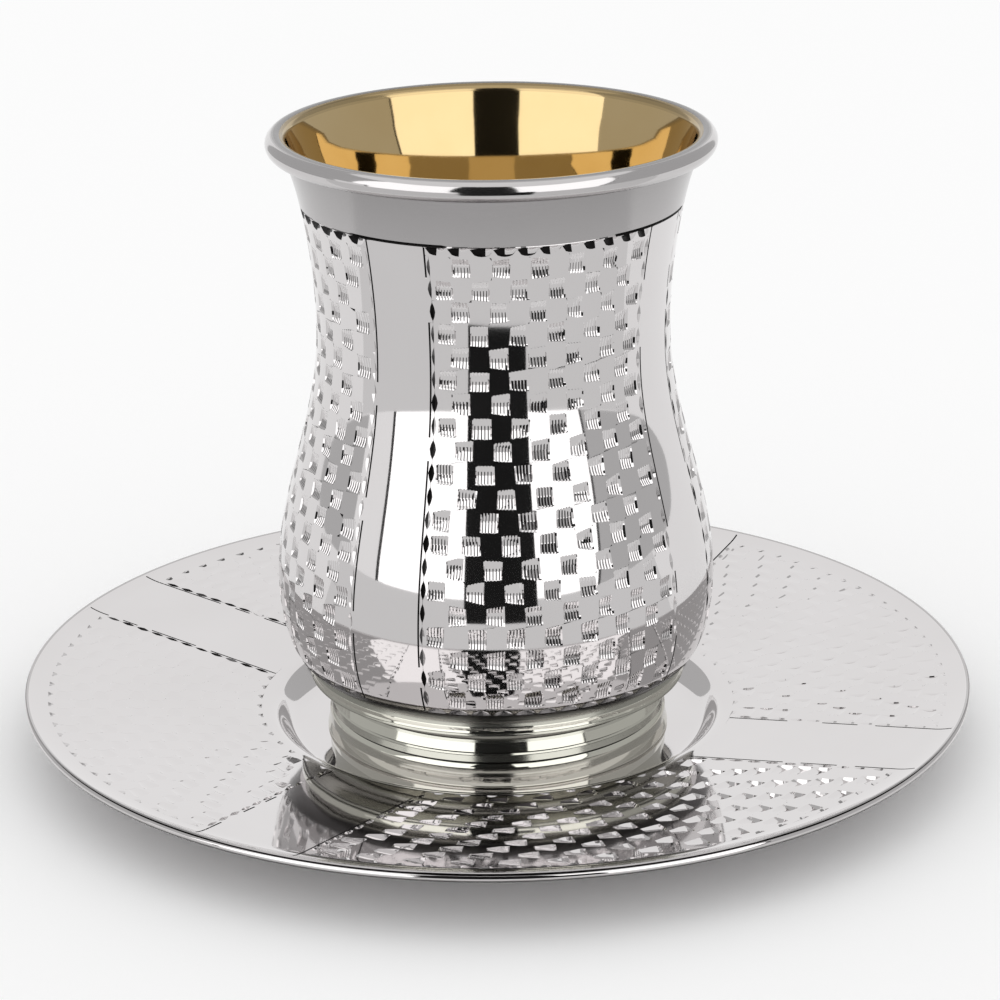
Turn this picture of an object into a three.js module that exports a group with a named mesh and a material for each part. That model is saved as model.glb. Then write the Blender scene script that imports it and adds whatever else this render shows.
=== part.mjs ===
// A silver kiddush cup standing on its matching saucer.
// Millimetres, +Z up. The origin is the middle of the saucer's underside, on the table.
// The cup is a spun bowl with a rolled lip, soldered to a reeded ring foot. It stands in the
// saucer's sunken well. Cup and saucer carry four fields of square punch marks, laid out like
// basket weave, between four plain polished stripes.
import * as THREE from 'three';

// Driving sizes.
const CUP_HEIGHT = 90;
const LIP_RADIUS = 31.9;
const BELLY_RADIUS = 31.95;
const WAIST_RADIUS = 25.4;
const FOOT_RADIUS = 25;
const FOOT_HEIGHT = 11;
const SAUCER_RADIUS = 70;
const SAUCER_RISE = 8;
const WELL_RADIUS = 33.7;
const SHEET = 0.9;
const SOLDER_GAP = 0.3;

// Heights that follow from them.
const FOOT_BOTTOM = SHEET + SOLDER_GAP;
const FOOT_TOP = FOOT_BOTTOM + FOOT_HEIGHT;
const BOWL_BOTTOM = FOOT_TOP + SOLDER_GAP;
const LIP_TOP = FOOT_BOTTOM + CUP_HEIGHT;

// The plain stripes, by the direction that each one faces, in degrees from +X towards +Y.
const STRIPE_ANGLES = [-119.5, -27, 61, 151];
const CUP_STRIPE_HALF_ANGLE = 9.3;
const SAUCER_STRIPE_HALF_WIDTH = 7.5;
const PUNCH_DEPTH = 0.25;
const PUNCH_LEAN = 0.8;
const BORDER_CUT_DEPTH = 0.3;

// The punched pieces are grids of columns and rings. A stripe has a cut line down each edge and
// three plain columns between, as parts of its half angle. A field has a column down the middle
// of each of its squares.
const STRIPE_COLUMNS = [-1, -0.86, 0, 0.86];
const FIELD_STEPS = 11;
const QUARTER_STEPS = STRIPE_COLUMNS.length + FIELD_STEPS;
const COLUMNS = STRIPE_ANGLES.length * QUARTER_STEPS;

// Direction of one column of the grid, when the stripes are halfAngle wide to each side.
function columnDirection(column, halfAngle) {
  const quarter = Math.floor(column / QUARTER_STEPS);
  const step = column % QUARTER_STEPS;
  const stripe = STRIPE_ANGLES[quarter];
  if (step < STRIPE_COLUMNS.length) return stripe + halfAngle * STRIPE_COLUMNS[step];
  const turn = quarter + 1 < STRIPE_ANGLES.length ? 0 : 360;
  const nextStripe = STRIPE_ANGLES[(quarter + 1) % STRIPE_ANGLES.length] + turn;
  const fieldStart = stripe + halfAngle;
  const fieldEnd = nextStripe - halfAngle;
  const along = (step - STRIPE_COLUMNS.length) / FIELD_STEPS;
  return fieldStart + (fieldEnd - fieldStart) * along;
}

// What the silversmith's tools did at a point of the grid. Each row of squares alternates with
// the next: punched where the last was plain. Outside the fields, row is null.
function markAt(column, row) {
  const step = column % QUARTER_STEPS;
  if (row === null) return 'plain';
  if (step === 0 || step === STRIPE_COLUMNS.length) return 'borderCut';
  const punched = step > STRIPE_COLUMNS.length && (row + column) % 2 === 0;
  return punched ? 'punch' : 'plain';
}

// The places of the rings along a field, from 0 at its start to 1 at its end: one ring through
// the middle of each row of squares.
function ringPlaces(rows) {
  return Array.from({ length: rows }, (_, row) => (row + 0.5) / rows);
}

// A turned piece: the profile is a list of [radius, height].
function turned(profile, segments) {
  const points = profile.map(([radius, height]) => new THREE.Vector2(radius, height));
  const geometry = new THREE.LatheGeometry(points, segments);
  geometry.rotateX(Math.PI / 2);
  return geometry;
}

// A turned piece with punched fields. rowOf gives the row of squares that a profile point belongs
// to, or null outside the fields. marks says how far each kind of mark moves the surface.
function turnedAndPunched(profile, rowOf, halfAngleAt, marks) {
  const geometry = turned(profile, COLUMNS);
  const position = geometry.attributes.position;
  for (let lap = 0; lap <= COLUMNS; lap += 1) {
    const column = lap % COLUMNS;
    profile.forEach(([radius, height], i) => {
      const direction = THREE.MathUtils.degToRad(columnDirection(column, halfAngleAt(radius)));
      const mark = marks[markAt(column, rowOf(i))];
      const markedRadius = radius + mark.outward;
      position.setXYZ(
        lap * profile.length + i,
        markedRadius * Math.cos(direction),
        markedRadius * Math.sin(direction),
        height + mark.upward,
      );
    });
  }
  return geometry;
}

// Points on an arc, from one angle to another in degrees, as [radius, height].
function arc(centreRadius, centreHeight, size, fromAngle, toAngle, steps) {
  const points = [];
  for (let i = 0; i <= steps; i += 1) {
    const angle = THREE.MathUtils.degToRad(fromAngle + (toAngle - fromAngle) * i / steps);
    points.push([centreRadius + size * Math.cos(angle), centreHeight + size * Math.sin(angle)]);
  }
  return points;
}

// Points at the given places, from 0 to 1, along a smooth curve through a few stations.
function smooth(stations, places) {
  const curve = new THREE.SplineCurve(stations.map(([x, y]) => new THREE.Vector2(x, y)));
  return places.map((place) => curve.getPointAt(place)).map((point) => [point.x, point.y]);
}

// The bowl. Its outside runs from the foot joint over the belly and waist to the neck line,
// up the plain collar, over the rolled lip and down the gilt inside.
const LIP_ROLL = 1.5;
const NECK_LINE = { radius: 27.25, height: BOWL_BOTTOM + 68.4 };
const NECK_CUT = { width: 0.5, depth: 0.25 };
const CUP_ROWS = 20;
const LIP_CENTRE = { radius: LIP_RADIUS - LIP_ROLL, height: LIP_TOP - LIP_ROLL };

const fieldStations = [
  [28.9, BOWL_BOTTOM + 0.5],
  [30.9, BOWL_BOTTOM + 4.4],
  [BELLY_RADIUS, BOWL_BOTTOM + 11.5],
  [31.55, BOWL_BOTTOM + 18.4],
  [29.9, BOWL_BOTTOM + 26.4],
  [27.3, BOWL_BOTTOM + 36.4],
  [25.6, BOWL_BOTTOM + 46],
  [WAIST_RADIUS, BOWL_BOTTOM + 52],
  [26.1, BOWL_BOTTOM + 61.5],
  [NECK_LINE.radius, NECK_LINE.height],
];
const bowlField = smooth(fieldStations, [0, ...ringPlaces(CUP_ROWS), 1]);
const bowlBase = [
  [0, BOWL_BOTTOM],
  [27.9, BOWL_BOTTOM],
];
const neckAndCollar = [
  [NECK_LINE.radius + 0.1 - NECK_CUT.depth, NECK_LINE.height + NECK_CUT.width / 2],
  [NECK_LINE.radius + 0.2, NECK_LINE.height + NECK_CUT.width],
  [28.4, NECK_LINE.height + 4.4],
];
const lip = arc(LIP_CENTRE.radius, LIP_CENTRE.height, LIP_ROLL, -70, 170, 6);
const bowlInside = [
  [27.2, NECK_LINE.height + 3.4],
  [25.1, BOWL_BOTTOM + 60],
  [WAIST_RADIUS - SHEET, BOWL_BOTTOM + 51],
  [25.6, BOWL_BOTTOM + 40],
  [28.3, BOWL_BOTTOM + 29],
  [30.7, BOWL_BOTTOM + 18],
  [BELLY_RADIUS - SHEET, BOWL_BOTTOM + 11],
  [29.2, BOWL_BOTTOM + 3],
  [25, BOWL_BOTTOM + SHEET],
  [0, BOWL_BOTTOM + SHEET],
];
const bowlProfile = [...bowlBase, ...bowlField, ...neckAndCollar, ...lip, ...bowlInside];
const firstRing = bowlBase.length + 1;

function cupRow(i) {
  const row = i - firstRing;
  return row >= 0 && row < CUP_ROWS ? row : null;
}

// The foot: a hollow ring with two beads under the bowl, a cove, three reeds and a plain band.
const FOOT_WALL = 1.2;
const FOOT_SEGMENTS = 40;
const footProfile = [
  [FOOT_RADIUS - FOOT_WALL, FOOT_BOTTOM],
  [FOOT_RADIUS - 0.1, FOOT_BOTTOM],
  [FOOT_RADIUS + 0.15, FOOT_BOTTOM + 1.3],
  [FOOT_RADIUS - 0.15, FOOT_BOTTOM + 3],
  [FOOT_RADIUS + 0.35, FOOT_BOTTOM + 3.7],
  [FOOT_RADIUS - 0.15, FOOT_BOTTOM + 4.4],
  [FOOT_RADIUS + 0.4, FOOT_BOTTOM + 4.8],
  [FOOT_RADIUS, FOOT_BOTTOM + 5.3],
  ...arc(FOOT_RADIUS, FOOT_BOTTOM + 6.4, 0.95, -70, 70, 3),
  [FOOT_RADIUS + 0.2, FOOT_BOTTOM + 7.8],
  [FOOT_RADIUS + 2.6, FOOT_BOTTOM + 8.9],
  [FOOT_RADIUS + 3.6, FOOT_BOTTOM + 9.7],
  [FOOT_RADIUS + 3.5, FOOT_BOTTOM + 10.1],
  [FOOT_RADIUS + 4, FOOT_BOTTOM + 10.6],
  [FOOT_RADIUS + 3.8, FOOT_TOP],
  [FOOT_RADIUS - 2.2, FOOT_TOP],
  [FOOT_RADIUS - FOOT_WALL, FOOT_TOP - 1.6],
  [FOOT_RADIUS - FOOT_WALL, FOOT_BOTTOM],
];

// The saucer: a flat well floor, a hollow step up to the well's lip, a gently rising brim with
// the punched fields, and a thin rolled edge.
const EDGE_ROLL = 1.15;
const EDGE_CENTRE = { radius: SAUCER_RADIUS - EDGE_ROLL, height: SHEET + SAUCER_RISE };
const WELL_LIP_HEIGHT = 4.2;
const WELL_FLOOR_RADIUS = 29.4;
const FIELD_INNER_RADIUS = WELL_RADIUS + 1.4;
const FIELD_OUTER_RADIUS = EDGE_CENTRE.radius - 2.4;
const BRIM_TOP_HEIGHT = EDGE_CENTRE.height - 0.1;
const SAUCER_ROWS = 11;

function brimHeight(radius) {
  const along = (radius - WELL_RADIUS) / (EDGE_CENTRE.radius - WELL_RADIUS);
  return WELL_LIP_HEIGHT + (BRIM_TOP_HEIGHT - WELL_LIP_HEIGHT) * along;
}

const brimRings = ringPlaces(SAUCER_ROWS).reverse().map((place) => {
  const radius = FIELD_INNER_RADIUS + (FIELD_OUTER_RADIUS - FIELD_INNER_RADIUS) * place;
  return [radius, brimHeight(radius)];
});
const saucerProfile = [
  [0, 0],
  [WELL_FLOOR_RADIUS + 0.5, 0],
  [WELL_RADIUS + 0.4, WELL_LIP_HEIGHT - SHEET],
  [EDGE_CENTRE.radius - EDGE_ROLL, brimHeight(EDGE_CENTRE.radius - EDGE_ROLL) - SHEET],
  ...arc(EDGE_CENTRE.radius, EDGE_CENTRE.height, EDGE_ROLL, -120, 150, 6),
  ...brimRings,
  [WELL_RADIUS, WELL_LIP_HEIGHT],
  [WELL_RADIUS - 1.6, WELL_LIP_HEIGHT - 1.9],
  [WELL_FLOOR_RADIUS, SHEET],
  [0, SHEET],
];
const firstBrimRing = saucerProfile.indexOf(brimRings[0]);

function saucerRow(i) {
  const row = i - firstBrimRing;
  return row >= 0 && row < SAUCER_ROWS ? row : null;
}

function saucerStripeHalfAngle(radius) {
  const sine = SAUCER_STRIPE_HALF_WIDTH / Math.max(radius, WELL_RADIUS);
  return THREE.MathUtils.radToDeg(Math.asin(sine));
}

const silver = new THREE.MeshStandardMaterial({
  name: 'polished silver',
  color: 0xdcdcdf,
  roughness: 0.12,
  metalness: 1,
});
const warmSilver = new THREE.MeshStandardMaterial({
  name: 'solder-warm silver',
  color: 0xd8d6c8,
  roughness: 0.15,
  metalness: 1,
});

function piece(name, geometry, material) {
  const mesh = new THREE.Mesh(geometry, material);
  mesh.name = name;
  return mesh;
}

// A punch mark is deepest towards its lower edge on the cup, and its outer edge on the saucer.
const cupMarks = {
  plain: { outward: 0, upward: 0 },
  borderCut: { outward: -BORDER_CUT_DEPTH, upward: 0 },
  punch: { outward: -PUNCH_DEPTH, upward: -PUNCH_LEAN },
};
const saucerMarks = {
  plain: { outward: 0, upward: 0 },
  borderCut: { outward: 0, upward: -BORDER_CUT_DEPTH },
  punch: { outward: PUNCH_LEAN, upward: -PUNCH_DEPTH },
};
const cupBody = turnedAndPunched(bowlProfile, cupRow, () => CUP_STRIPE_HALF_ANGLE, cupMarks);
const saucerBody = turnedAndPunched(saucerProfile, saucerRow, saucerStripeHalfAngle, saucerMarks);

const kiddushCup = new THREE.Group();
kiddushCup.add(piece('cup_body', cupBody, silver));
kiddushCup.add(piece('foot_ring', turned(footProfile, FOOT_SEGMENTS), warmSilver));
kiddushCup.add(piece('saucer', saucerBody, silver));

export default kiddushCup;
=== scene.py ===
import math
import random

import bpy
import numpy as np
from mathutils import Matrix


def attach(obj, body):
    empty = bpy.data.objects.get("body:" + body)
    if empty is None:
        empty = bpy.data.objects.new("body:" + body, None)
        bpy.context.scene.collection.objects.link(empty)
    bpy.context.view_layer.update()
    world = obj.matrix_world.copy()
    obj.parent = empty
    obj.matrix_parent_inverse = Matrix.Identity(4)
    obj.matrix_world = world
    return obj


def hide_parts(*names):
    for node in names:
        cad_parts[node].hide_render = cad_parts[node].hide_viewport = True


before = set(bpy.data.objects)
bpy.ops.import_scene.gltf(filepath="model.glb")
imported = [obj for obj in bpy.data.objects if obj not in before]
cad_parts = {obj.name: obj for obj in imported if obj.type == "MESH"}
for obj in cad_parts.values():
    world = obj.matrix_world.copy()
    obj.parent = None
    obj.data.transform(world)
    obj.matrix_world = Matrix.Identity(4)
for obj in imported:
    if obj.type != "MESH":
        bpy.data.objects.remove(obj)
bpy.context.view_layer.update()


# The saucer.
# It is spun from one silver sheet: a flat well for the cup, a hollow step, a rising brim and a
# rolled edge. The brim is then set out in four stripes and punched, square by square, by hand.

MM = 0.001
SAUCER_RADIUS = 70
SHEET = 0.9
EDGE_ROLL = 0.56
EDGE_CENTRE = (SAUCER_RADIUS - 0.14 - EDGE_ROLL, 8.42)
WELL_RADIUS = 33.7
WELL_LIP_HEIGHT = 4.2
BRIM_SLOPE = 0.1309
SAUCER_ROWS = 11
SAUCER_SQUARE = 3.15
SAUCER_STRIPE = 15
ROUND = 240

# The stripes, by the direction that each one faces, in degrees from +X towards +Y.
STRIPES = (-119.5, -27, 61, 151)


def spline(stations, count=400):
    """Points along a natural cubic spline through the stations, by their distance along it."""
    knots = np.array(stations, dtype=float)
    chords = np.linalg.norm(np.diff(knots, axis=0), axis=1)
    at = np.concatenate([[0], np.cumsum(chords)])
    system = np.eye(len(knots))
    change = np.zeros_like(knots)
    for i in range(1, len(knots) - 1):
        before, after = chords[i - 1], chords[i]
        system[i, i - 1:i + 2] = before, 2 * (before + after), after
        change[i] = 6 * ((knots[i + 1] - knots[i]) / after - (knots[i] - knots[i - 1]) / before)
    bend = np.linalg.solve(system, change)
    points = []
    for t in np.linspace(0, at[-1], count):
        i = min(int(np.searchsorted(at, t, side="right")) - 1, len(knots) - 2)
        gap = chords[i]
        back, on = at[i + 1] - t, t - at[i]
        curve = (bend[i] * back ** 3 + bend[i + 1] * on ** 3) / (6 * gap)
        line = (knots[i] / gap - bend[i] * gap / 6) * back
        line = line + (knots[i + 1] / gap - bend[i + 1] * gap / 6) * on
        points.append(curve + line)
    return np.array(points)


def on_circle(centre, size, degrees):
    """The point of a profile's round part that lies in a direction, as (radius, height)."""
    turn = math.radians(degrees)
    return centre[0] + size * math.cos(turn), centre[1] + size * math.sin(turn)


def arc(centre, size, start, end, steps):
    """Points on an arc between two directions in degrees."""
    return [on_circle(centre, size, start + (end - start) * i / steps) for i in range(steps + 1)]


class Outline:
    """The curve that a punched field follows, from one end of the field to the other."""

    def __init__(self, points):
        self.points = np.array(points, dtype=float)
        steps = np.linalg.norm(np.diff(self.points, axis=0), axis=1)
        self.along = np.concatenate([[0], np.cumsum(steps)])
        self.length = self.along[-1]
        tangents = np.gradient(self.points, self.along, axis=0)
        tangents /= np.linalg.norm(tangents, axis=1)[:, None]
        self.normals = np.stack([tangents[:, 1], -tangents[:, 0]], axis=1)

    def radius(self, along):
        return float(np.interp(along, self.along, self.points[:, 0]))

    def point(self, angle, along, depth):
        """The point at an angle and a distance along the outline, sunk below the surface, and
        the surface's own normal there."""
        radius, height = (np.interp(along, self.along, self.points[:, k]) for k in (0, 1))
        out, up = (np.interp(along, self.along, self.normals[:, k]) for k in (0, 1))
        radius -= depth * out
        east, north = math.cos(angle), math.sin(angle)
        return (radius * east, radius * north, height - depth * up), (out * east, out * north, up)


def around():
    """Directions in degrees around a turned piece, from the first stripe on, and their places:
    0 to 4, whole at each stripe."""
    degrees = [STRIPES[0] + 360 * i / ROUND for i in range(ROUND)]
    return degrees, list(np.interp(degrees, [*STRIPES, STRIPES[0] + 360], range(5)))


class Shell:
    """The mesh of a turned piece, made ring by ring from its bottom over the outside to its
    inside. Each ring's points have places, by which rings that differ in number are joined."""

    def __init__(self):
        self.points = []
        self.facing = []
        self.sunk = []
        self.painted_dark = []
        self.faces = []
        self.black = []
        self.sharp = set()
        self.first = None
        self.last = None

    def ring(self, places, points, facing=None, sunk=None, painted_dark=None):
        """Add a ring and join it to the ring before it. Facing is the turned surface's own normal
        at each point, sunk tells which points are cut into that surface, and the last list tells how
        dark the face that starts at each point is painted: painted shade and painted dark
        reflection, and in the cuts also polishing black."""
        start, count = len(self.points), len(points)
        self.points += points
        self.facing += facing or [(0, 0, 0)] * count
        self.sunk += sunk or [False] * count
        self.painted_dark += painted_dark or [0] * count
        indices = list(range(start, start + count))
        if self.last is None:
            self.first = indices
        elif len(self.last[0]) == count:
            self.quads(self.last[0], indices)
        else:
            self.lace(self.last, (indices, places))
        self.last = (indices, places)
        return indices

    def turn(self, spots, sharp=False, facing=None, painted_dark=0):
        """Add plain rings through (radius, height) spots of the profile."""
        degrees, places = around()
        turns = [(math.cos(math.radians(a)), math.sin(math.radians(a))) for a in degrees]
        for radius, height in spots:
            points = [(radius * east, radius * north, height) for east, north in turns]
            normals = None
            if facing is not None:
                normals = [(facing[0] * east, facing[0] * north, facing[1]) for east, north in turns]
            indices = self.ring(places, points, normals, painted_dark=[painted_dark] * ROUND)
            if sharp:
                self.crease(indices)

    def roll(self, centre, size, painted_darks):
        """Add rings on a rolled edge, each given by its direction in degrees and how dark it is
        painted as shade.
        """
        for degrees, painted_dark in painted_darks:
            self.turn([on_circle(centre, size, degrees)], painted_dark=painted_dark)

    def crease(self, ring):
        """Make the edges along a ring sharp."""
        for a, b in zip(ring, ring[1:] + ring[:1]):
            self.sharp.add((min(a, b), max(a, b)))

    def face(self, corners, painted_dark=0):
        self.faces.append(corners)
        self.black.append(painted_dark)

    def quads(self, lower, upper):
        for i in range(len(lower)):
            j = (i + 1) % len(lower)
            self.face((lower[i], lower[j], upper[j], upper[i]), self.painted_dark[lower[i]])

    def lace(self, lower, upper):
        """Triangles between two rings whose points differ in number, in the order of places. A
        triangle that steps along the upper ring is painted as dark as the lower point on its left."""
        (low, low_places), (high, high_places) = lower, upper
        low_places = [*low_places, 4 + low_places[0], math.inf]
        high_places = [*high_places, 4 + high_places[0], math.inf]
        i = j = 0
        while i < len(low) or j < len(high):
            a, b = low[i % len(low)], high[j % len(high)]
            left = low[i - 1] if low_places[i] > high_places[j] else a
            if i < len(low) and low_places[i + 1] <= high_places[j + 1]:
                i += 1
                self.face((a, low[i % len(low)], b), self.painted_dark[a])
            else:
                j += 1
                self.face((a, high[j % len(high)], b), self.painted_dark[left])

    def cap(self):
        """Close the first and the last ring with one face each."""
        self.face(self.first[::-1])
        self.face(self.last[0])

    def close(self):
        """Join the last ring to the first, for a piece that is a ring itself."""
        self.quads(self.last[0], self.first)

    def finish(self, name, material):
        """Make the object, with sharp edges where it is cut or creased."""
        mesh = bpy.data.meshes.new(name)
        mesh.from_pydata((np.array(self.points) * MM).tolist(), [], self.faces)
        mesh.shade_smooth()
        ends = np.zeros(len(mesh.edges) * 2, dtype=np.int64)
        mesh.edges.foreach_get("vertices", ends)
        pairs = np.sort(ends.reshape(-1, 2), axis=1)
        flags = [tuple(pair) in self.sharp for pair in pairs.tolist()]
        mesh.attributes.new("sharp_edge", "BOOLEAN", "EDGE").data.foreach_set("value", flags)
        # How dark each face is painted: painted shade and painted dark reflection, and polishing
        # black in the cuts.
        mesh.attributes.new("blackened", "FLOAT", "FACE").data.foreach_set("value", self.black)
        mesh.materials.append(material)
        self.smooth(mesh)
        piece = bpy.data.objects.new(name, mesh)
        bpy.context.collection.objects.link(piece)
        return piece

    def smooth(self, mesh):
        """Uncut faces get the turned surface's own normals, so that they mirror as one surface;
        the facets of the cuts keep their own."""
        corner_points = np.zeros(len(mesh.loops), dtype=np.int64)
        mesh.loops.foreach_get("vertex_index", corner_points)
        sizes = np.zeros(len(mesh.polygons), dtype=np.int64)
        mesh.polygons.foreach_get("loop_total", sizes)
        corner_faces = np.repeat(np.arange(len(sizes)), sizes)
        normals = np.zeros(len(mesh.loops) * 3, dtype=np.float32)
        mesh.corner_normals.foreach_get("vector", normals)
        normals = normals.reshape(-1, 3)
        sunk_corners = np.array(self.sunk)[corner_points]
        cut_faces = np.bincount(corner_faces, sunk_corners) > 0
        facing = np.array(self.facing, dtype=np.float32)[corner_points]
        known = (np.abs(facing).sum(axis=1) > 0) & ~cut_faces[corner_faces]
        normals[known] = facing[known]
        mesh.normals_split_custom_set(normals.tolist())


# The rows of squares: how far along its row each ring of points lies, the plain gap beside a
# row, and how far the corners of its squares stray.
BITE = (0, 0.09, 0.27, 0.5, 0.73, 0.91, 1)
ROW_GAP = 0.02
SQUARE_SLACK = 0.05

# The punch marks: a scoop with grooves, each over a span of its pitch, and how far a leaning tool
# changes them.
SCOOP_DEPTH = 0.27
DEEP_END = 0.5
GROOVES = 5
GROOVE_DEPTH = 0.055
GROOVE_REACH = 0.04
GROOVE_SPAN = (0.3, 0.62)
MARK_LENGTH = 0.88
MARK_RIM = 0.03
MARK_WALL = 0.05
LEAN_SPREAD = 0.25
LEAN_LIMIT = 0.6
LEAN_LENGTH = 0.4
LEAN_DEPTH = 0.5

# How much the hand varies from mark to mark.
MARK_LENGTHS = (0.9, 1.03)
MARK_SHIFTS = (-0.06, 0.06)
MARK_FORCES = (0.8, 1.15)
MARK_SLANT = 0.03
# How black each mark's grooves are painted, as polishing black and painted shade.
GROOVE_PAINTED_DARKS = (0.6, 1)
MARK_ENDS = (0.04, 0.1)

# The stripes' edges: a scribed line, and a lens-shaped cut beside it in each row, both painted black
# as polishing black and painted dark reflection.
BORDER = 1.28
LINE_WIDTH = 0.26
LINE_DEPTH = 0.12
LINE_GAPS = 0.3
LENS_WIDTH = 0.85
LENS_DEPTH = 0.2
LENS_TIP = 0.04
LENS_OFFSET = 0.03
LENS_SIZES = (0.8, 1.08)
LENS_PAINTED_DARKS = (-0.2, 0.2)
PAINTED_DARK_WHOLE_LENGTH = 0.6
PAINTED_DARK_BOTH_SIDES = 0.9

# The half-round cuts at the ends of a field.
SCALLOP_PITCH = 1.2
SCALLOP_TIP = 0.06
SCALLOP_BOW = 0.86
SCALLOP_CURVE = 0.8
SCALLOP_WIDTHS = (0.9, 1)
SCALLOP_DEPTHS = (0.6, 0.74)
SCALLOP_SPLITS = (0.4, 0.6)

# Where columns of points lie in a half-round cut, in half a stripe and in a margin.
SCALLOP_SHARES = (0, 0.18, 0.34, 0.5, 0.66, 0.82, 1)
STRIPE_SHARES = (0, 0.33, 0.66)
STRIPE_PLACES = 0.1
MARGIN_COLUMNS = 44


def clamp(painted_dark):
    return min(1, max(0, painted_dark))


class Field:
    """The punched zone of a turned piece: four fields of squares between four plain stripes.
    Each cut is made of columns of points, one point for each ring of the row."""

    def __init__(self, shell, outline, square, half_stripe, forces, grooves, groove_painted_dark, edge_painted_darks,
                 lean, seed):
        """Forces tells how hard each of the four fields is struck, grooves how deep the tool's
        grooves print, the groove black how black they are painted, the edge blacks how black the
        cuts before and after each stripe are painted, and lean how much the tool leaned to one side.
        The black is polishing black in the cuts and painted dark reflection."""
        self.shell = shell
        self.outline = outline
        self.square = square
        self.half_stripe = half_stripe
        self.forces = forces
        self.grooves = grooves
        self.groove_painted_dark = groove_painted_dark
        self.edge_painted_darks = edge_painted_darks
        self.lean = lean
        self.random = random.Random(seed)

    def start_row(self, low, high, rings):
        """Begin the rings of a row between two distances along the outline."""
        self.low, self.high = low, high
        self.middle = (low + high) / 2
        self.rings = [[] for _ in range(rings)]
        self.sharp_columns = []

    def sweep(self, quarter):
        """First and last angle of a quarter, between the middles of two stripes."""
        following = STRIPES[(quarter + 1) % 4] + (360 if quarter == 3 else 0)
        return math.radians(STRIPES[quarter]), math.radians(following)

    def half_width(self, quarter, along):
        """Half the width of a field, without the borders beside its stripes."""
        radius = self.outline.radius(along)
        first, last = self.sweep(quarter)
        return (last - first) / 2 * radius - self.half_stripe(radius) - BORDER

    def stripe_column(self, quarter, share, alongs, extra=0):
        """A column in a stripe, at a share of the way from its middle to its edge. Extra is 4
        where the ring comes round to its first stripe again."""
        for ring, along in zip(self.rings, alongs):
            radius = self.outline.radius(along)
            angle = self.sweep(quarter)[0] + share * self.half_stripe(radius) / radius
            place = quarter + share * STRIPE_PLACES
            ring.append((place + extra, angle + extra * math.pi / 2, along, 0, 0))

    def open_stripe(self, quarter, alongs):
        """The half of a stripe that comes before a field."""
        for share in STRIPE_SHARES:
            self.stripe_column(quarter, share, alongs)

    def close_stripe(self, quarter, alongs):
        """The half of the next stripe that comes after the field."""
        following = (quarter + 1) % 4
        for share in STRIPE_SHARES[:0:-1]:
            self.stripe_column(following, -share, alongs, extra=0 if following else 4)

    def column(self, quarter, spots, sharp=False):
        """A column in a field. Each spot has its distance from the field's middle, as measured
        in the middle of the row, its distance along the outline, its depth and how dark it is
        painted."""
        if sharp:
            self.sharp_columns.append(len(self.rings[0]))
        first, last = self.sweep(quarter)
        inner = self.half_width(quarter, self.middle)
        for ring, (x, along, depth, painted_dark) in zip(self.rings, spots):
            here = self.half_width(quarter, along)
            x = x * here / inner if abs(x) <= inner else x + math.copysign(1, x) * (here - inner)
            share = x / (here + BORDER) * (0.5 - STRIPE_PLACES)
            angle = (first + last) / 2 + x / self.outline.radius(along)
            ring.append((quarter + 0.5 + share, angle, along, depth, painted_dark))

    def weave(self, low, high, rows):
        """The rows of squares between two distances along the outline."""
        size = (high - low) / rows
        for index in range(rows):
            self.row(index, low + size * index, low + size * (index + 1))

    def row(self, index, low, high):
        """One ring of squares."""
        self.start_row(low, high, len(BITE))
        self.levels = [low + ROW_GAP + (high - low - 2 * ROW_GAP) * bite for bite in BITE]
        self.reach = (high - low) * MARK_LENGTH / 2
        for quarter in range(4):
            self.open_stripe(quarter, self.levels)
            self.border(quarter, -1)
            self.squares(quarter, index)
            self.border(quarter, 1)
            self.close_stripe(quarter, self.levels)
        self.lay()

    def margin(self, levels):
        """Rings beyond the squares, plain but for the lines at the stripes' edges."""
        self.start_row(levels[0], levels[-1], len(levels))
        for quarter in range(4):
            self.open_stripe(quarter, levels)
            self.line(quarter, -1, levels)
            half = self.half_width(quarter, self.middle) + BORDER - LINE_WIDTH
            for share in np.linspace(-1, 1, MARGIN_COLUMNS)[1:-1]:
                self.column(quarter, [(half * share, along, 0, 0) for along in levels])
            self.line(quarter, 1, levels)
            self.close_stripe(quarter, levels)
        self.lay()

    def scribed(self, quarter, levels, painted_dark):
        """The columns of the line at a stripe's edge, from the stripe inwards, and how dark the
        gaps between them are painted."""
        edge = self.half_width(quarter, self.middle) + BORDER
        depth = LINE_DEPTH if painted_dark else 0
        columns = []
        for offset, sunk in ((0, 0), (LINE_WIDTH / 2, depth), (LINE_WIDTH, 0)):
            columns.append([(edge - offset, along, sunk) for along in levels])
        return columns, [[painted_dark] * len(levels)] * 2

    def place(self, quarter, side, columns, painted_darks):
        """Lay columns that are listed from a stripe inwards on the left side of a field, or
        mirrored on its right side. How dark a gap is painted belongs to the column on its left."""
        if side > 0:
            columns, painted_darks = columns[::-1], painted_darks[::-1]
        for spots, gap in zip(columns, [*painted_darks, [0] * len(self.rings)]):
            spots = [(side * x, along, depth, painted_dark) for (x, along, depth), painted_dark in zip(spots, gap)]
            self.column(quarter, spots, sharp=True)

    def line(self, quarter, side, levels):
        """A stripe's edge where no cut leans on it."""
        self.place(quarter, side, *self.scribed(quarter, levels, 1))

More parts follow.
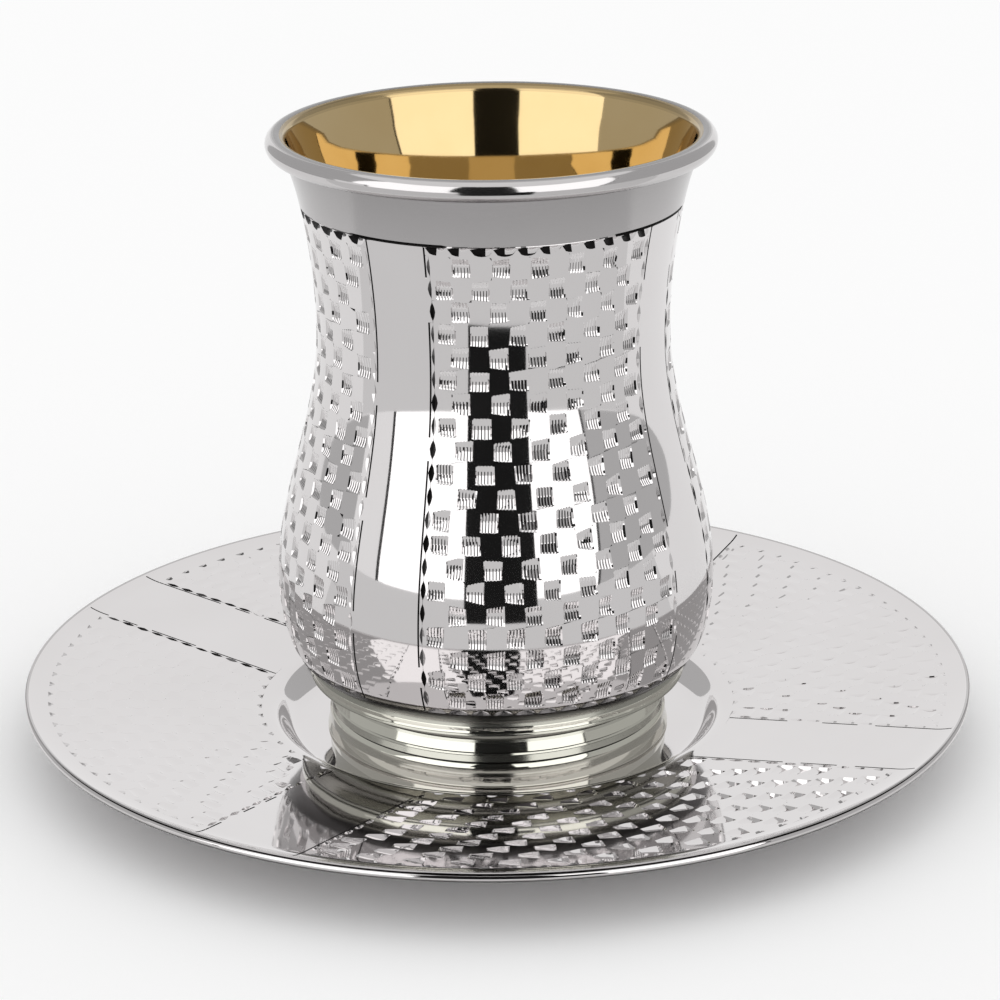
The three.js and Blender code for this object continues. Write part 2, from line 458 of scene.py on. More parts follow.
    def border(self, quarter, side):
        """The stripe's edge: a scribed line with gaps, and beside it one lens-shaped cut to each
        row, a little shorter than the row. The darker the cut is painted, as polishing black and
        painted dark reflection, the more of it is painted."""
        stripe = quarter if side < 0 else (quarter + 1) % 4
        cut_painted_dark = clamp(self.edge_painted_darks[stripe][side < 0] + self.random.uniform(*LENS_PAINTED_DARKS))
        scored = self.random.random() > LINE_GAPS
        swell = self.random.uniform(*LENS_SIZES)
        columns, painted_darks = self.scribed(quarter, self.levels, 1 if scored else 0)
        edge = self.half_width(quarter, self.middle) + BORDER
        middle = edge - LINE_WIDTH - LENS_OFFSET - LENS_WIDTH / 2
        bows = [max(0, math.sin(math.pi * (1.2 * bite - 0.1))) for bite in BITE]
        for part, sunk in ((0.5, 0), (0, 1), (-0.5, 0)):
            spots = []
            for bow, along in zip(bows, self.levels):
                width = LENS_TIP + LENS_WIDTH * swell * bow
                spots.append((middle + part * width, along, sunk * LENS_DEPTH * swell * bow))
            columns.append(spots)
        near = [cut_painted_dark if cut_painted_dark > PAINTED_DARK_WHOLE_LENGTH or bite >= 0.5 else 0 for bite in BITE]
        far = [cut_painted_dark if cut_painted_dark > PAINTED_DARK_BOTH_SIDES else 0] * len(BITE)
        self.place(quarter, side, columns, [*painted_darks, [0] * len(BITE), near, far])

    def edges(self, half, starts_punched):
        """Edges of the squares in one half of a field, out from its middle. The last plain
        square takes up the room that is left over."""
        room = half / self.square
        count = round(room)
        sizes = [1.0] * count
        ends_punched = starts_punched == (count % 2 == 1)
        sizes[count - 2 if ends_punched else count - 1] += room - count
        return [self.square * size for size in np.cumsum([0] + sizes)]

    def squares(self, quarter, index):
        """The squares of one field, punched and plain by turns."""
        half = self.half_width(quarter, self.middle)
        right = self.edges(half, index % 2 == 0)
        left = self.edges(half, index % 2 == 1)
        cuts = [-x for x in left[:0:-1]] + right
        slack = SQUARE_SLACK * self.square
        tops = [x + self.random.uniform(-slack, slack) for x in cuts]
        bottoms = [x + self.random.uniform(-slack, slack) for x in cuts]
        tops[0], tops[-1] = bottoms[0], bottoms[-1] = -half, half
        for k in range(len(cuts) - 1):
            corners = (bottoms[k], bottoms[k + 1], tops[k], tops[k + 1])
            if (k + 1 - len(left) + index) % 2 == 0:
                self.mark(quarter, corners)
            else:
                self.blank(quarter, corners)

    def across(self, corners, share, bite):
        """Distance from the field's middle, at a share of a square's width and height."""
        low = corners[0] + (corners[1] - corners[0]) * share
        high = corners[2] + (corners[3] - corners[2]) * share
        return low + (high - low) * bite

    def blank(self, quarter, corners):
        """A plain square."""
        for share in (0, 0.5):
            spots = [(self.across(corners, share, bite), along, 0, 0)
                     for bite, along in zip(BITE, self.levels)]
            self.column(quarter, spots)

    def mark(self, quarter, corners):
        """A punch mark: a scoop with grooves along it, deepest in their lower ends, where the
        grooves are painted black as polishing black and painted shade. The tool was never held quite
        straight, so each mark is deeper and longer on one side."""
        lean = self.lean + max(-LEAN_LIMIT, min(LEAN_LIMIT, self.random.gauss(0, LEAN_SPREAD)))
        length = self.random.uniform(*MARK_LENGTHS)
        shift = self.random.uniform(*MARK_SHIFTS) * self.reach
        force = self.forces[quarter] * self.random.uniform(*MARK_FORCES)
        slant = self.random.gauss(0, MARK_SLANT)
        groove_painted_dark = self.groove_painted_dark * self.random.uniform(*GROOVE_PAINTED_DARKS)
        room = ((self.high - self.low) / 2 - ROW_GAP - abs(shift)) / self.reach
        start = MARK_RIM + MARK_WALL
        end = 1 - MARK_RIM - self.random.uniform(*MARK_ENDS)
        pitch = (end - start) / GROOVES
        shares = [(MARK_RIM, 0, 0, 0), (start, 1, 0, 0)]
        for groove in range(GROOVES):
            shares.append((start + pitch * (groove + GROOVE_SPAN[0]), 1, 1, groove_painted_dark))
            shares.append((start + pitch * (groove + GROOVE_SPAN[1]), 1, 1, 0))
            shares.append((start + pitch * (groove + 1), 1, 0, 0))
        shares.append((1 - MARK_RIM, 0, 0, 0))
        edge = [(self.across(corners, 0, bite), along, 0, 0)
                for bite, along in zip(BITE, self.levels)]
        self.column(quarter, edge)
        for share, scooped, grooved, painted_dark in shares:
            aside = (2 * share - 1) * lean
            spots = []
            for bite in BITE:
                swing = 2 * bite - 1
                x = self.across(corners, share, bite)
                x += slant * self.reach * swing * (1 - abs(2 * share - 1))
                stretch = length * (1 + LEAN_LENGTH * aside)
                stretch *= 1 + (GROOVE_REACH if grooved else -GROOVE_REACH) * self.grooves
                along = self.middle + shift + self.reach * swing * min(room, stretch)
                round_off = (1 - swing * swing) * (1 - DEEP_END * swing)
                groove_depth = GROOVE_DEPTH * self.grooves * grooved
                depth = (SCOOP_DEPTH * scooped + groove_depth) * force * round_off
                depth *= 1 + LEAN_DEPTH * aside
                spots.append((x, along, depth, painted_dark if 0 < bite < 0.5 else 0))
            self.column(quarter, spots, sharp=True)

    def scallops(self, low, high, opens, fill, painted_darks):
        """A ring of half-round cuts along the edge of the fields, deepest at their straight side,
        which faces up the outline when opens is 1, or down it when opens is -1. One side of each cut
        is painted dark, as polishing black and painted dark reflection, and each field has its own
        pair of values for how dark, for its first and its last cut."""
        self.start_row(low, high, 3)
        levels = (low, self.middle, high)
        for quarter in range(4):
            self.open_stripe(quarter, levels)
            self.line(quarter, -1, levels)
            half = self.half_width(quarter, self.middle) + BORDER - LINE_WIDTH - LENS_OFFSET
            first, last = painted_darks[quarter]
            count = round(2 * half / (self.square * SCALLOP_PITCH))
            size = 2 * half / count
            for k in range(count):
                wide = size * fill * self.random.uniform(*SCALLOP_WIDTHS)
                depth = min(1, self.forces[quarter]) * self.random.uniform(*SCALLOP_DEPTHS)
                split = self.random.uniform(*SCALLOP_SPLITS)
                cut_painted_dark = clamp(first + (last - first) * (k + 0.5) / count)
                for share in SCALLOP_SHARES:
                    x = -half + size * (k + 0.5) + wide * (share - 0.5)
                    painted_dark = cut_painted_dark if share < split else 0
                    self.scallop_column(quarter, x, share, depth, opens, painted_dark)
            self.line(quarter, 1, levels)
            self.close_stripe(quarter, levels)
        self.lay()

    def scallop_column(self, quarter, x, share, depth, opens, painted_dark):
        """One column of a half-round cut."""
        straight, round_side = (self.high, self.low) if opens > 0 else (self.low, self.high)
        bow = math.sqrt(max(0, 1 - (2 * share - 1) ** 2))
        arched = straight + (round_side - straight) * (SCALLOP_TIP + SCALLOP_BOW * bow)
        deep = depth * (1 - abs(2 * share - 1)) ** SCALLOP_CURVE
        spots = [(x, round_side, 0, 0), (x, arched, 0, painted_dark), (x, straight, deep, 0)]
        if opens < 0:
            spots = [(x, straight, deep, painted_dark), (x, arched, 0, 0), (x, round_side, 0, 0)]
        self.column(quarter, spots, sharp=share == 0.5)

    def lay(self):
        """Put the rings of one row into the shell, with the edges of its cuts sharp."""
        made = []
        for ring in self.rings:
            placed = [self.outline.point(angle, along, depth)
                      for _, angle, along, depth, _ in ring]
            places, _, _, depths, painted_darks = zip(*ring)
            points, facing = zip(*placed)
            sunk = [depth > 0 for depth in depths]
            made.append(self.shell.ring(list(places), list(points), list(facing), sunk, list(painted_darks)))
        for column in self.sharp_columns:
            for lower, upper in zip(made, made[1:]):
                self.shell.sharp.add((lower[column], upper[column]))
        for indices, inner in ((made[0], self.rings[1]), (made[-1], self.rings[-2])):
            for i in range(len(indices) - 1):
                if inner[i][3] > 0 or inner[i + 1][3] > 0:
                    self.shell.sharp.add((indices[i], indices[i + 1]))


class Wire:
    """One output of a node. Arithmetic on wires and numbers adds Math nodes."""

    def __init__(self, tree, socket=None):
        self.tree = tree
        self.socket = socket

    def node(self, kind, settings=None, sockets=None, output=0):
        """Add a node: its settings are made first, then its sockets are given values or wires."""
        node = self.tree.nodes.new(kind)
        for name, value in (settings or {}).items():
            setattr(node, name, value)
        for name, value in (sockets or {}).items():
            if isinstance(value, Wire):
                self.tree.links.new(value.socket, node.inputs[name])
            else:
                node.inputs[name].default_value = value
        return Wire(self.tree, node.outputs[output]) if node.outputs else None

    def maths(self, operation, first, second):
        return self.node("ShaderNodeMath", {"operation": operation}, {0: first, 1: second})

    def __add__(self, other):
        return self.maths("ADD", self, other)

    def __radd__(self, other):
        return self.maths("ADD", other, self)

    def __mul__(self, other):
        return self.maths("MULTIPLY", self, other)

    def __rmul__(self, other):
        return self.maths("MULTIPLY", other, self)


# Sockets of a Mix node for colours, which have the same names as its sockets for numbers.
MIX_FACTOR, MIX_FIRST, MIX_SECOND, MIX_RESULT = 0, 6, 7, 2

# The black painted over faces: polishing black in the cuts, and painted shade and painted dark
# reflection on undersides, creases, collar, lip and foot.
POLISH_BLACK_AND_PAINTED_SHADE = (0.012, 0.011, 0.011)
POLISH_BLACK_AND_PAINTED_SHADE_ROUGHNESS = 0.3
CLOUD_ROUGHNESS = 0.05
WAVE_HEIGHT = 0.00012
GRIT_HEIGHT = 0.0000012


def polished_metal(name, colour, shade, roughness):
    """Hand-polished metal: a soft waviness left by the mop, faint clouds of handling and fine
    polishing lines, and black painted over it by each face's blackened value: polishing black in
    the cuts, and painted shade and painted dark reflection on undersides, creases, collar, lip and
    foot."""
    material = bpy.data.materials.new(name)
    material.use_nodes = True
    tree = material.node_tree
    tree.nodes.clear()
    wire = Wire(tree)
    place = wire.node("ShaderNodeTexCoord", output="Object")
    clouds = wire.node("ShaderNodeTexNoise", {}, {"Vector": place, "Scale": 55, "Detail": 4})
    waves = wire.node("ShaderNodeTexNoise", {}, {"Vector": place, "Scale": 90, "Detail": 1})
    grit = wire.node("ShaderNodeTexNoise", {}, {"Vector": place, "Scale": 2600, "Detail": 2})
    tint = wire.node("ShaderNodeMix", {"data_type": "RGBA"},
                     {MIX_FACTOR: clouds, MIX_FIRST: (*colour, 1), MIX_SECOND: (*shade, 1)},
                     output=MIX_RESULT)
    # Painted shade and polishing black: each face is painted towards black by its blackened value.
    black = wire.node("ShaderNodeAttribute", {"attribute_name": "blackened"}, output="Fac")
    tint = wire.node("ShaderNodeMix", {"data_type": "RGBA"},
                     {MIX_FACTOR: black, MIX_FIRST: tint, MIX_SECOND: (*POLISH_BLACK_AND_PAINTED_SHADE, 1)},
                     output=MIX_RESULT)
    height = waves * WAVE_HEIGHT + grit * GRIT_HEIGHT
    bump = wire.node("ShaderNodeBump", {}, {"Height": height, "Strength": 0.25, "Distance": 1})
    dullness = clouds * CLOUD_ROUGHNESS + black * POLISH_BLACK_AND_PAINTED_SHADE_ROUGHNESS + (roughness - CLOUD_ROUGHNESS / 2)
    shader = wire.node("ShaderNodeBsdfPrincipled", {}, {
        "Base Color": tint,
        "Metallic": 1,
        "Roughness": dullness,
        "Normal": bump,
    })
    wire.node("ShaderNodeOutputMaterial", {}, {"Surface": shader})
    return material


SILVER = (0.712, 0.692, 0.695)
SILVER_SHADE = (0.66, 0.64, 0.637)
SILVER_ROUGHNESS = 0.045
silver = polished_metal("polished silver", SILVER, SILVER_SHADE, SILVER_ROUGHNESS)


def saucer_half_stripe(radius):
    """Half a stripe's width, measured around the circle: the stripe's own sides are parallel."""
    return radius * math.asin(SAUCER_STRIPE / 2 / radius)


def brim_point(radius):
    """The point of the brim's profile at a radius: the brim rises as a plain cone."""
    return radius, WELL_LIP_HEIGHT + BRIM_SLOPE * (radius - WELL_RADIUS)


# The outline that the cuts follow: the rim, where it flattens out from the edge, then the brim.
FIELD_OUTER = SAUCER_RADIUS - 3.45
FIELD_INNER = WELL_RADIUS + 1.4
RIM_CURVE = [(68.9, 9.1), (68.4, 8.93), (67.9, 8.79), (67.3, 8.64)]
BRIM_CURVE = [brim_point(r) for r in np.linspace(FIELD_OUTER, FIELD_INNER, 60)]
brim = Outline(RIM_CURVE + BRIM_CURVE)
field_start = brim.along[len(RIM_CURVE)]

# The underside, from the middle of the well to the edge.
saucer = Shell()
saucer.turn([(0.3, 0), (12, 0), (24, 0), (28.6, 0), (29.6, 0.1), (30.4, 0.5), (31.3, 1.3),
             (32.6, 2.5), (33.6, 3.1), (34.6, 3.35)])
for radius in np.linspace(38.5, 67.7, 8):
    saucer.turn([(radius, brim_point(radius)[1] - SHEET)])

# The edge: a thin bead, rolled under the sheet and painted dark below, with a black seam painted
# between the two and the sheet's edge painted darker: painted shade and painted dark reflection.
saucer.roll(EDGE_CENTRE, EDGE_ROLL, ((-120, 0.9), (-80, 0.9), (-60, 0.9), (-45, 0.9), (-32, 0.8),
                                     (-20, 0.5), (-10, 0.25)))
saucer.turn(arc(EDGE_CENTRE, EDGE_ROLL, 0, 58, 6))
saucer.turn([on_circle(EDGE_CENTRE, EDGE_ROLL, 68), (69.05, 9.03)], sharp=True, painted_dark=1)
saucer.turn([(69.66, 9.16)], sharp=True, painted_dark=0.5)
saucer.turn([(69.74, 9.26), (69.6, 9.36)], sharp=True, painted_dark=0.3)
saucer.turn([(69.3, 9.25), (69.1, 9.17)])

# The cuts. The front field is struck hardest. The cuts are painted black, as polishing black and
# painted dark reflection, and blackest at the back, where they mirror dark things.
SAUCER_FORCES = (1.35, 0.4, 0.4, 0.4)
SAUCER_EDGE_PAINTED_DARKS = ((0.2, 0.1), (0.1, 0.1), (0.1, 1), (1, 1))
OUTER_NICK_PAINTED_DARKS = ((0.6, 0.6), (-1.7, 1.3), (1, 0.9), (0.3, 0))
INNER_NICK_PAINTED_DARKS = ((0.6, 0.6), (0.1, 0.1), (0.3, 0.3), (0.3, 0.3))
NICK = 0.9
NICK_MARGIN = 0.1
NICK_FILL = 0.42
saucer_field = Field(saucer, brim, SAUCER_SQUARE, saucer_half_stripe, SAUCER_FORCES, grooves=0,
                     groove_painted_dark=0, edge_painted_darks=SAUCER_EDGE_PAINTED_DARKS, lean=1.1, seed=7)
saucer_field.margin(brim.along[:len(RIM_CURVE) + 1])
saucer_field.scallops(field_start + NICK_MARGIN, field_start + NICK, opens=-1, fill=NICK_FILL,
                      painted_darks=OUTER_NICK_PAINTED_DARKS)
saucer_field.weave(field_start + NICK + NICK_MARGIN, brim.length - NICK - NICK_MARGIN, SAUCER_ROWS)
saucer_field.scallops(brim.length - NICK, brim.length - NICK_MARGIN, opens=1, fill=NICK_FILL,
                      painted_darks=INNER_NICK_PAINTED_DARKS)

# The step down into the well, and the well's floor.
saucer.turn([BRIM_CURVE[-1]], facing=brim.normals[-1])
saucer.turn(spline([(WELL_RADIUS + 0.2, WELL_LIP_HEIGHT), (33.2, 3.95), (32.2, 3.0),
                    (31.2, 1.9), (30.2, 1.15), (29.2, SHEET)], 14))
saucer.turn([(27, SHEET), (20, SHEET), (12, SHEET), (5, SHEET), (0.3, SHEET)])
saucer.cap()
saucer_piece = saucer.finish("saucer_dressed", silver)
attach(saucer_piece, "root")
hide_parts("saucer")


# The foot.
# A hollow ring, cast and turned: two beads under the bowl, a cove, stepped reeds and a base band.
# It is soldered to the bowl, and the heat has left its silver a little warmer in colour.

FOOT_RADIUS = 25
FOOT_BOTTOM = SHEET
FOOT_JOINT = 12.2
FOOT_WALL = 1.2
WARM_SILVER = (0.70, 0.695, 0.63)
WARM_SHADE = (0.58, 0.57, 0.49)
WARM_ROUGHNESS = 0.06

# Each moulding from the bottom up: how dark it is painted, as painted shade for the dark bands
# that the reeds mirror, and its profile as (radius beyond the ring's, height). It starts on a sharp
# edge and ends where the next one starts.
MOULDINGS = (
    (0, [(0.16, 0.92), (0.32, 1.08)]),
    (0, [(0.34, 1.3)]),
    (0.2, [(0.02, 2.5), (0.03, 3.3)]),
    (0, [(0, 3.85), (-0.1, 4.15)]),
    (1, [(-0.55, 4.55), (-0.5, 4.72)]),
    (0.3, [(-0.2, 4.8)]),
    (0.6, [(-0.5, 5.62)]),
    (0.1, [(-0.3, 5.8)]),
    (1, [(-0.6, 6.2)]),
    (0, [(-0.22, 6.3)]),
    (0.9, [(-0.8, 7.55)]),
    (0.2, [(-0.55, 7.64)]),
    (0.5, [(-0.72, 8), (-0.66, 8.5), (-0.3, 9), (0.5, 9.45), (1.6, 9.75)]),
    (0.9, [(2.4, 9.95)]),
    (0.3, [(2.72, 10.02), (2.76, 10.15)]),
    (0.8, [(2.5, 10.44)]),
    (0, [(2.78, 10.52)]),
    (0, [(2.7, 10.82), (2.74, 11.2)]),
    (0.5, [(2.66, 11.45), (2.5, 11.8)]),
)

foot = Shell()
foot.turn([(FOOT_RADIUS - FOOT_WALL, FOOT_BOTTOM)], sharp=True)
for moulding_painted_shade, moulding in MOULDINGS:
    for i, (out, height) in enumerate(moulding):
        foot.turn([(FOOT_RADIUS + out, height)], sharp=i == 0, painted_dark=moulding_painted_shade)

# The face that is soldered to the bowl, and the inner wall.
foot.turn([(FOOT_RADIUS + 2, FOOT_JOINT + 0.2), (FOOT_RADIUS - 2.2, FOOT_JOINT + 0.2),
           (FOOT_RADIUS - FOOT_WALL, FOOT_JOINT - 1.6)], sharp=True)
foot.close()
warm_silver = polished_metal("solder-warm silver", WARM_SILVER, WARM_SHADE, WARM_ROUGHNESS)
foot_piece = foot.finish("foot_ring_dressed", warm_silver)
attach(foot_piece, "root")
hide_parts("foot_ring")


# The bowl.
# One spun sheet from the foot joint over the belly and waist to a plain, duller collar, with its
# edge rolled into a lip. Four fields are punched on it, under a cut line around the neck.

BOWL_BOTTOM = 12.5
LIP_TOP = 91.2
LIP_RADIUS = 31.9
LIP_ROLL = 1.5
LIP_CENTRE = (LIP_RADIUS - LIP_ROLL, LIP_TOP - LIP_ROLL)
FIELD_BOTTOM = BOWL_BOTTOM + 1.6
NECK_HEIGHT = BOWL_BOTTOM + 68.4
FIELD_TOP = NECK_HEIGHT + 0.01
CURVE_STEP = 8
CUP_ROWS = 20
CUP_SQUARE = 2.68
CUP_STRIPE_HALF_ANGLE = 9.3
BOWL_STATIONS = (
    (28.0, 0.0), (28.9, 0.7), (30.9, 4.4), (31.95, 11.5), (31.55, 18.4), (29.9, 26.4),
    (27.3, 36.4), (25.6, 46), (25.4, 52), (26.1, 61.5), (27.25, 68.4), (28.3, 72.6),
    (29.5, 76.0),
)


def cup_half_stripe(radius):
    """Half a stripe's width, measured around the circle: the stripe narrows with the waist."""
    return radius * math.radians(CUP_STRIPE_HALF_ANGLE)


bowl_curve = spline([(r, BOWL_BOTTOM + z) for r, z in BOWL_STATIONS], 1200)
below = [p for p in bowl_curve if p[1] <= FIELD_BOTTOM]
field_curve = [p for p in bowl_curve if FIELD_BOTTOM < p[1] <= FIELD_TOP]
above = [p for p in bowl_curve if p[1] > FIELD_TOP]
wall = Outline(field_curve)
bowl = Shell()
bowl.turn([(0.3, BOWL_BOTTOM), (10, BOWL_BOTTOM), (20, BOWL_BOTTOM), (26, BOWL_BOTTOM)])
# The plain band under the fields is painted dark: painted shade and painted dark reflection under
# the belly.
bowl.turn(below[::CURVE_STEP], painted_dark=0.85)
bowl.turn([field_curve[0]], facing=wall.normals[0], painted_dark=0.7)

# The cuts: all four fields are struck alike, and painted black alike, as polishing black and painted
# dark reflection.
CUP_FORCES = (1,) * 4
CUP_EDGE_PAINTED_DARKS = ((0.35, 0.95),) * 4
LOWER_SCALLOP_PAINTED_DARKS = ((0.5, 0.5),) * 4
UPPER_SCALLOP_PAINTED_DARKS = ((1, 1),) * 4
CUT = 1.15
CUT_MARGIN = 0.15
LOWER_MARGIN = 0.1
UPPER_MARGIN = 0.05
cup_field = Field(bowl, wall, CUP_SQUARE, cup_half_stripe, CUP_FORCES, grooves=1, groove_painted_dark=1,
                  edge_painted_darks=CUP_EDGE_PAINTED_DARKS, lean=0.2, seed=3)
cup_field.scallops(LOWER_MARGIN, LOWER_MARGIN + CUT, opens=-1, fill=1, painted_darks=LOWER_SCALLOP_PAINTED_DARKS)
cup_field.weave(CUT + CUT_MARGIN, wall.length - CUT - CUT_MARGIN, CUP_ROWS)
cup_field.scallops(wall.length - CUT - UPPER_MARGIN, wall.length - UPPER_MARGIN, opens=1, fill=1,
                   painted_darks=UPPER_SCALLOP_PAINTED_DARKS)

# The line cut around the neck: bold across the stripes, where the graver ran on past their
# edges, and no more than a scratch above the fields. Both are painted black, the scratch with gaps,
# as polishing black and painted dark reflection. Each bold cut is given by its first and last
# direction in degrees.
NECK_CUTS = ((-135.6, -103.5), (-52.4, -14), (48, 76), (138, 166))
NECK_LINE = 0.44
NECK_DEPTH = 0.2
SCRATCH = 0.16
SCRATCH_DEPTH = 0.05
SCRATCH_PAINTED_DARK = 0.8
SCRATCH_CHANGE = 0.25
COLLAR_PAINTED_SHADE = 0.38
COLLAR_CHANGE = 0.1


def bowl_radius(height):
    """The bowl's outer radius at a height above the belly."""
    heights = [z for _, z in bowl_curve]
    return float(np.interp(height, heights, [r for r, _ in bowl_curve]))


graver = random.Random(11)
neck_degrees, neck_places = around()
neck_bold = []
neck_painted_darks = []
scratched = False
for degrees in neck_degrees:
    bold = any((degrees - first) % 360 <= last - first for first, last in NECK_CUTS)
    if graver.random() < SCRATCH_CHANGE:
        scratched = not scratched
    neck_bold.append(bold)
    neck_painted_darks.append(1 if bold else SCRATCH_PAINTED_DARK * scratched)
neck_middle = NECK_HEIGHT + NECK_LINE / 2 + 0.02
for side, sunk in ((-1, False), (0, True), (1, False)):
    spots = []
    for degrees, bold in zip(neck_degrees, neck_bold):
        height = neck_middle + side * (NECK_LINE if bold else SCRATCH) / 2
        radius = bowl_radius(height) - sunk * (NECK_DEPTH if bold else SCRATCH_DEPTH)
        angle = math.radians(degrees)
        spots.append((radius * math.cos(angle), radius * math.sin(angle), height))
    painted_darks = neck_painted_darks if side < 1 else [COLLAR_PAINTED_SHADE] * ROUND
    bowl.crease(bowl.ring(neck_places, spots, sunk=[sunk] * ROUND, painted_dark=painted_darks))

# The collar, painted darker and a little rougher than the rest, most under the lip: painted shade
# and painted dark reflection.
collar = [p for p in above if p[1] > neck_middle + NECK_LINE]
for step, spot in enumerate(collar[::CURVE_STEP]):
    bowl.turn([spot], painted_dark=COLLAR_PAINTED_SHADE + COLLAR_CHANGE * CURVE_STEP * step / len(collar))

# The lip: a dark seam painted under the roll, an underside and a crown beside the gilding painted
# darker, and the rest of the roll a little darker: painted shade and painted dark reflection.
bowl.turn([on_circle(LIP_CENTRE, LIP_ROLL, -128)], sharp=True, painted_dark=0.55)
bowl.turn([on_circle(LIP_CENTRE, LIP_ROLL, -124)], sharp=True)
bowl.roll(LIP_CENTRE, LIP_ROLL, ((-115, 0.6), (-103, 0.6), (-91, 0.6), (-79, 0.55), (-67, 0.5),
                                 (-55, 0.4), (-43, 0.25)))
bowl.turn(arc(LIP_CENTRE, LIP_ROLL, -31, 54, 7), painted_dark=0.16)
bowl.roll(LIP_CENTRE, LIP_ROLL, ((62, 0.4), (70, 0.6), (80, 0.7), (95, 0.7), (112, 0), (130, 0),
                                 (165, 0)))

# The inner wall, under the gilding, and the bowl's floor.
INSIDE_STATIONS = (
    (28.95, 77.45), (28.3, 75.2), (27.2, 71.8), (25.1, 60), (24.5, 51), (25.6, 40), (28.3, 29),
    (30.7, 18), (31.05, 11), (29.2, 3.4), (25, 0.9),
)
inside = spline([(r, BOWL_BOTTOM + z) for r, z in INSIDE_STATIONS], 60)
bowl.turn(inside[2::6])
bowl.turn([(16, BOWL_BOTTOM + SHEET), (8, BOWL_BOTTOM + SHEET), (0.3, BOWL_BOTTOM + SHEET)])
bowl.cap()
bowl_piece = bowl.finish("cup_body_dressed", silver)
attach(bowl_piece, "root")
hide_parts("cup_body")


# The gilding.
# The whole inside of the bowl is gilt up to the crown of the lip, where it is painted darker and
# a little rougher as painted shade. It is a film on the silver, and is built here as a thin lining
# that lies on the bowl's inner wall.

GOLD = (0.67, 0.52, 0.29)
GOLD_SHADE = (0.58, 0.42, 0.2)
GOLD_ROUGHNESS = 0.05
GILT_SKIN = 0.04

# First and last ring of each zone of the lining's face that is painted darker as shade, from the
# crown down, and how dark it is painted.
GILT_PAINTED_SHADE = ((0, 3, 0.55), (3, 6, 0.35), (6, 8, 0.15), (8, None, 0))

gilding = Shell()
crown = arc(LIP_CENTRE, LIP_ROLL + GILT_SKIN, 112, 165, 8)
film = [(r - GILT_SKIN, z) for r, z in inside[2:-1]]
floor = BOWL_BOTTOM + SHEET
face = [*crown, *film, *[(radius, floor + GILT_SKIN) for radius in (20, 10, 0.3)]]
back = [(0.3, floor - GILT_SKIN), (20, floor - GILT_SKIN)]
back += [(r + GILT_SKIN, z) for r, z in inside[-2:1:-6]]
back += arc(LIP_CENTRE, LIP_ROLL - GILT_SKIN, 160, 113, 4)
gilding.turn(back)
for first, last, painted_dark in GILT_PAINTED_SHADE:
    gilding.turn(face[first:last], painted_dark=painted_dark)
gilding.cap()
gold = polished_metal("gilding", GOLD, GOLD_SHADE, GOLD_ROUGHNESS)
gilding_piece = gilding.finish("cup_gilding", gold)
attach(gilding_piece, "root")


# The table and the studio.
# A plain pale table in even white light. Cards that the camera doesn't see stand around it, and
# one lies on it in front, so that the silver has something light, grey and dark to mirror.

FLOOR_COLOUR = (0.97, 0.97, 0.97)
WORLD_LIGHT = 1.0


def plain_material(name, colour, glow=None):
    """A matt colour, or a glowing one."""
    material = bpy.data.materials.new(name)
    material.use_nodes = True
    tree = material.node_tree
    tree.nodes.clear()
    wire = Wire(tree)
    if glow is None:
        shader = wire.node("ShaderNodeBsdfDiffuse", {}, {"Color": (*colour, 1)})
    else:
        shader = wire.node("ShaderNodeEmission", {}, {"Color": (*colour, 1), "Strength": glow})
    wire.node("ShaderNodeOutputMaterial", {}, {"Surface": shader})
    return material


def panel(name, points, faces, material):
    """A flat or curved panel of the studio, given in millimetres."""
    mesh = bpy.data.meshes.new(name)
    mesh.from_pydata([(x * MM, y * MM, z * MM) for x, y, z in points], [], faces)
    mesh.materials.append(material)
    piece = bpy.data.objects.new(name, mesh)
    bpy.context.collection.objects.link(piece)
    return piece


def unseen(piece):
    """Leave a card to the reflections alone."""
    piece.visible_camera = False
    piece.visible_diffuse = False
    piece.visible_shadow = False


def card(name, distance, heights, glow, low, high=None, spread=0):
    """A curved card around the table between two directions in degrees, seen only in
    reflections. The directions of its top edge can differ from those of its foot, and the top
    edge can spread farther out, so that the card slopes or lies flat."""
    steps = 12
    points = []
    for i in range(steps + 1):
        for reach, height, ends in ((distance, heights[0], low),
                                    (distance + spread, heights[1], high or low)):
            angle = math.radians(ends[0] + (ends[1] - ends[0]) * i / steps)
            points.append((reach * math.cos(angle), reach * math.sin(angle), height))
    faces = [(2 * i, 2 * i + 2, 2 * i + 3, 2 * i + 1) for i in range(steps)]
    unseen(panel(name, points, faces, plain_material(name, (1, 1, 1), glow)))


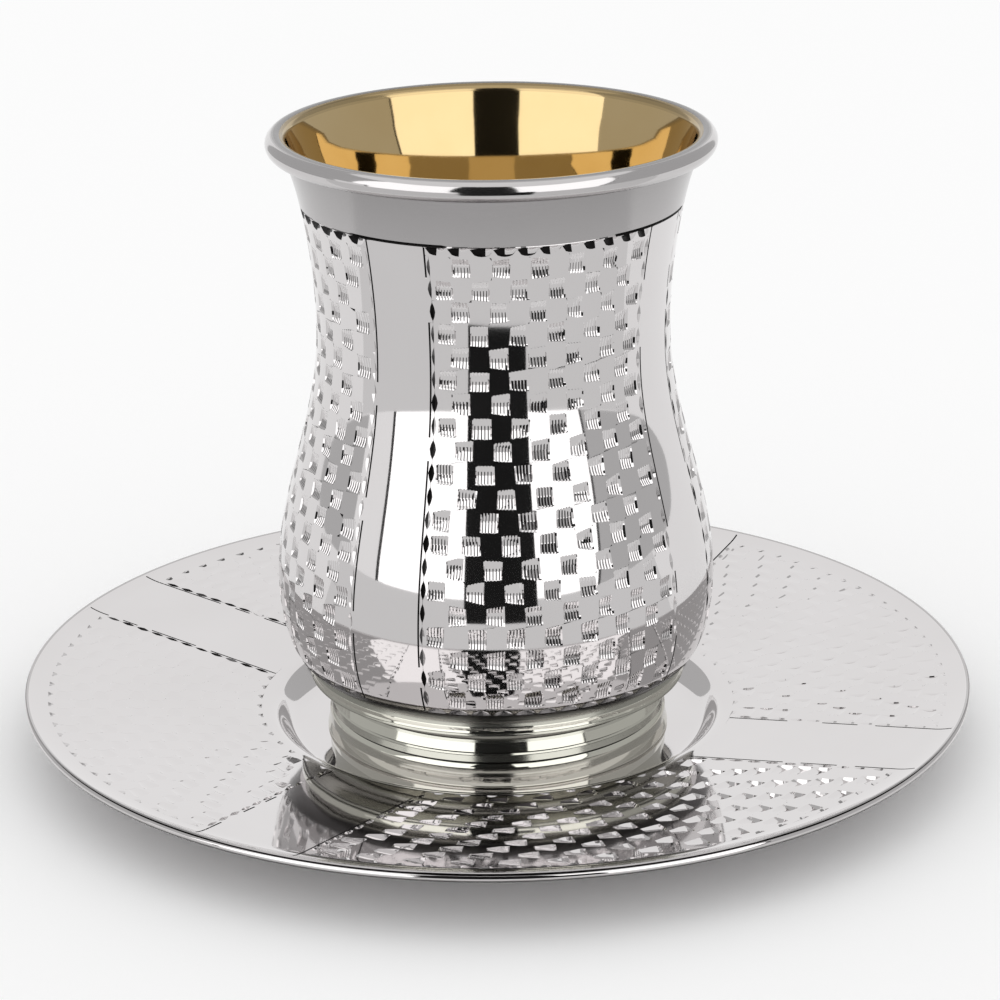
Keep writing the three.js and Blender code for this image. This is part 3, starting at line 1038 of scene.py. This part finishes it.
HALF_TABLE = 3000
TABLE_HEIGHT = -0.05
ROOM = 640
CEILING = 900
table_corners = [(-1, -1), (1, -1), (1, 1), (-1, 1)]
panel("floor", [(x * HALF_TABLE, y * HALF_TABLE, TABLE_HEIGHT) for x, y in table_corners],
      [(0, 1, 2, 3)], plain_material("pale table", FLOOR_COLOUR))
card("front_table", 90, (0.4, 0.4), 0.78, (-178, -2), spread=520)
card("front_left_wall", ROOM, (0, CEILING), 1.75, (-161, -95))
card("front_right_wall", ROOM, (0, CEILING), 1.75, (-85, -38), (-85, -6))
card("dark_opening", 170, (0, 85), 0.012, (-105, -71))
card("dark_opening_top", 170, (85, 320), 0.012, (-108.6, -78.6))
card("left_seam", ROOM - 20, (0, 130), 0.05, (-153.5, -151.8))
card("left_low", ROOM - 10, (0, 130), 1.0, (-172, -153.5))
card("left_wall", ROOM, (0, CEILING), 0.55, (-240, -161))
card("right_seam", ROOM - 10, (0, CEILING), 0.1, (-38, -36.5), (-6, -4))
card("right_wall", ROOM, (0, CEILING), 0.55, (-36.5, 60), (-4, 60))

world = bpy.data.worlds.new("studio")
world.use_nodes = True
background = world.node_tree.nodes["Background"]
background.inputs["Color"].default_value = (1, 1, 1, 1)
background.inputs["Strength"].default_value = WORLD_LIGHT
bpy.context.scene.world = world
bpy.context.scene.view_settings.view_transform = "Standard"


# The camera.
# It stands in front of the cup with a long lens and looks down on it by about twenty degrees, as
# the photographer's did.

CAMERA_PLACE = (0, -450.94, 196.1)
CAMERA_PITCH = math.radians(19.589)
CAMERA_ROLL = math.radians(-0.641)
SENSOR = 36
FOCAL_LENGTH = 117.73
FRAME_SHIFT = 0.0047

view = bpy.data.cameras.new("camera")
view.sensor_width = SENSOR
view.lens = FOCAL_LENGTH
view.shift_x = FRAME_SHIFT
camera = bpy.data.objects.new("camera", view)
bpy.context.collection.objects.link(camera)
camera.location = [value * MM for value in CAMERA_PLACE]
camera.rotation_mode = "ZYX"
camera.rotation_euler = (math.radians(90) - CAMERA_PITCH, 0, CAMERA_ROLL)
bpy.context.scene.camera = camera
